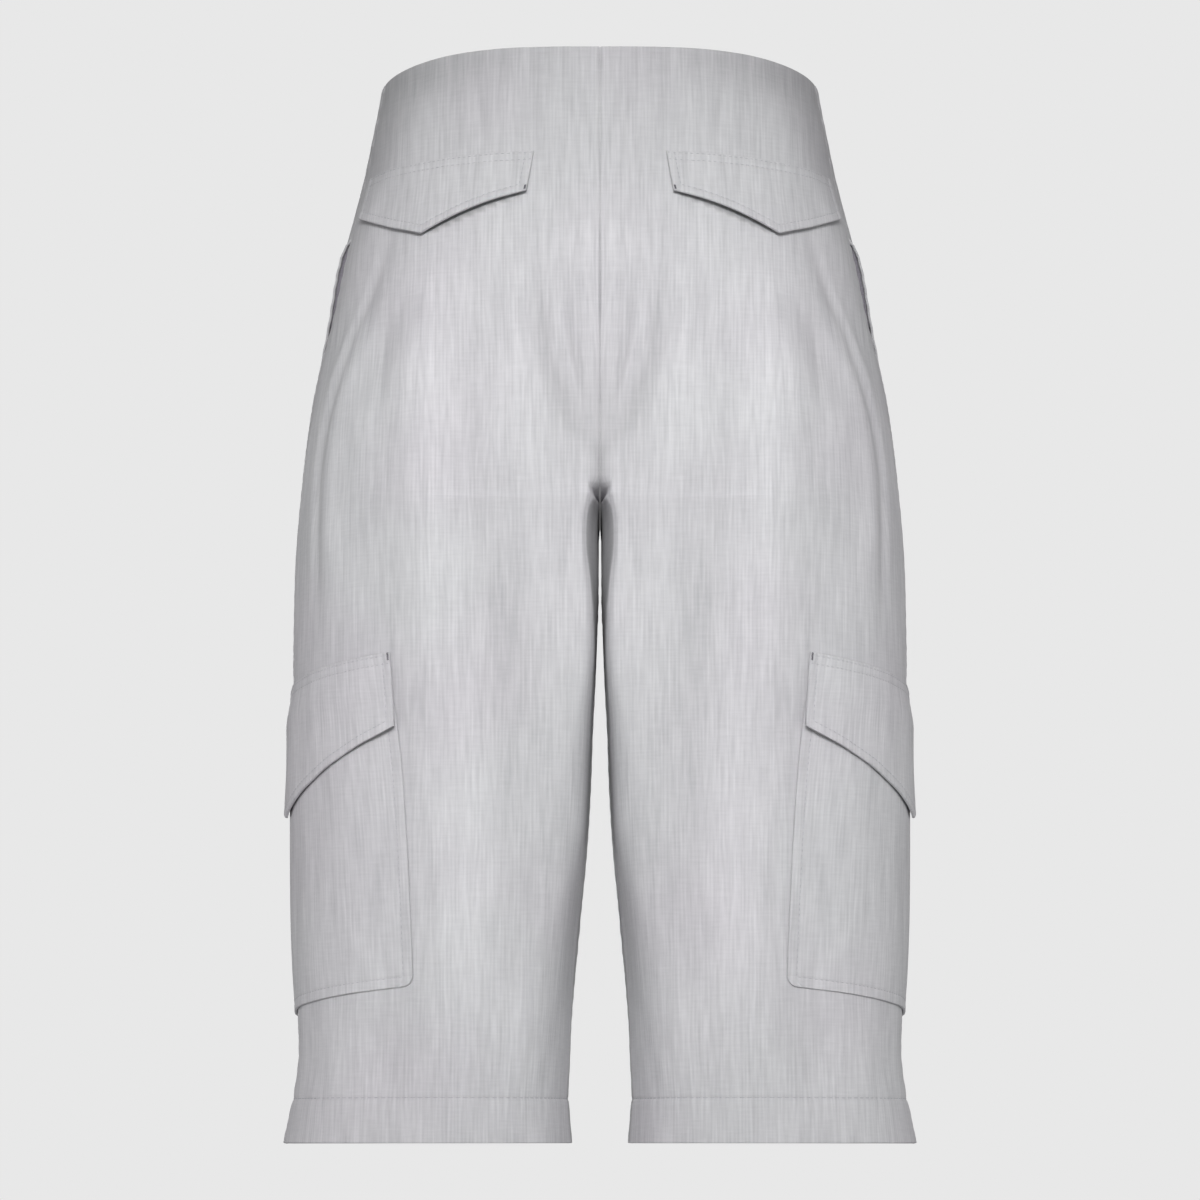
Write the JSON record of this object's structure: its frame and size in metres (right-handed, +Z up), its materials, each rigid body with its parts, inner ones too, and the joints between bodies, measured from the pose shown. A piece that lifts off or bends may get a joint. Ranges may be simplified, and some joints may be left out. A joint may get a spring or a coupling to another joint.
{
  "type": "bermuda shorts",
  "caption": "Wide high-waisted bermuda shorts, filled out and hollow, with pointed flaps across the seat and flapped patch pockets on the thighs.",
  "frame": {"origin": "middle of the waist opening, level with its rim at the side seams, where the wearer's waist holds the shorts", "axes": "+Z up along the wearer's body, the back faces -Y, the wearer's left leg lies at -X"},
  "size_m": [0.3602, 0.2418, 0.6195],
  "materials": {
    "suiting": "matt slubbed plain weave, light cool grey",
    "zip_tape": "matt woven tape"
  },
  "bodies": {
    "root": {"back_left": "suiting", "back_right": "suiting", "front_left": "suiting", "front_right": "suiting", "back_flap_left": "suiting", "back_flap_right": "suiting", "cargo_pocket_left": "suiting", "cargo_pocket_right": "suiting", "cargo_flap_left": "suiting", "cargo_flap_right": "suiting", "side_pocket_left": "suiting", "side_pocket_right": "suiting", "fly_shield": "suiting", "fly_zip": "zip_tape"}
  },
  "joints": []
}
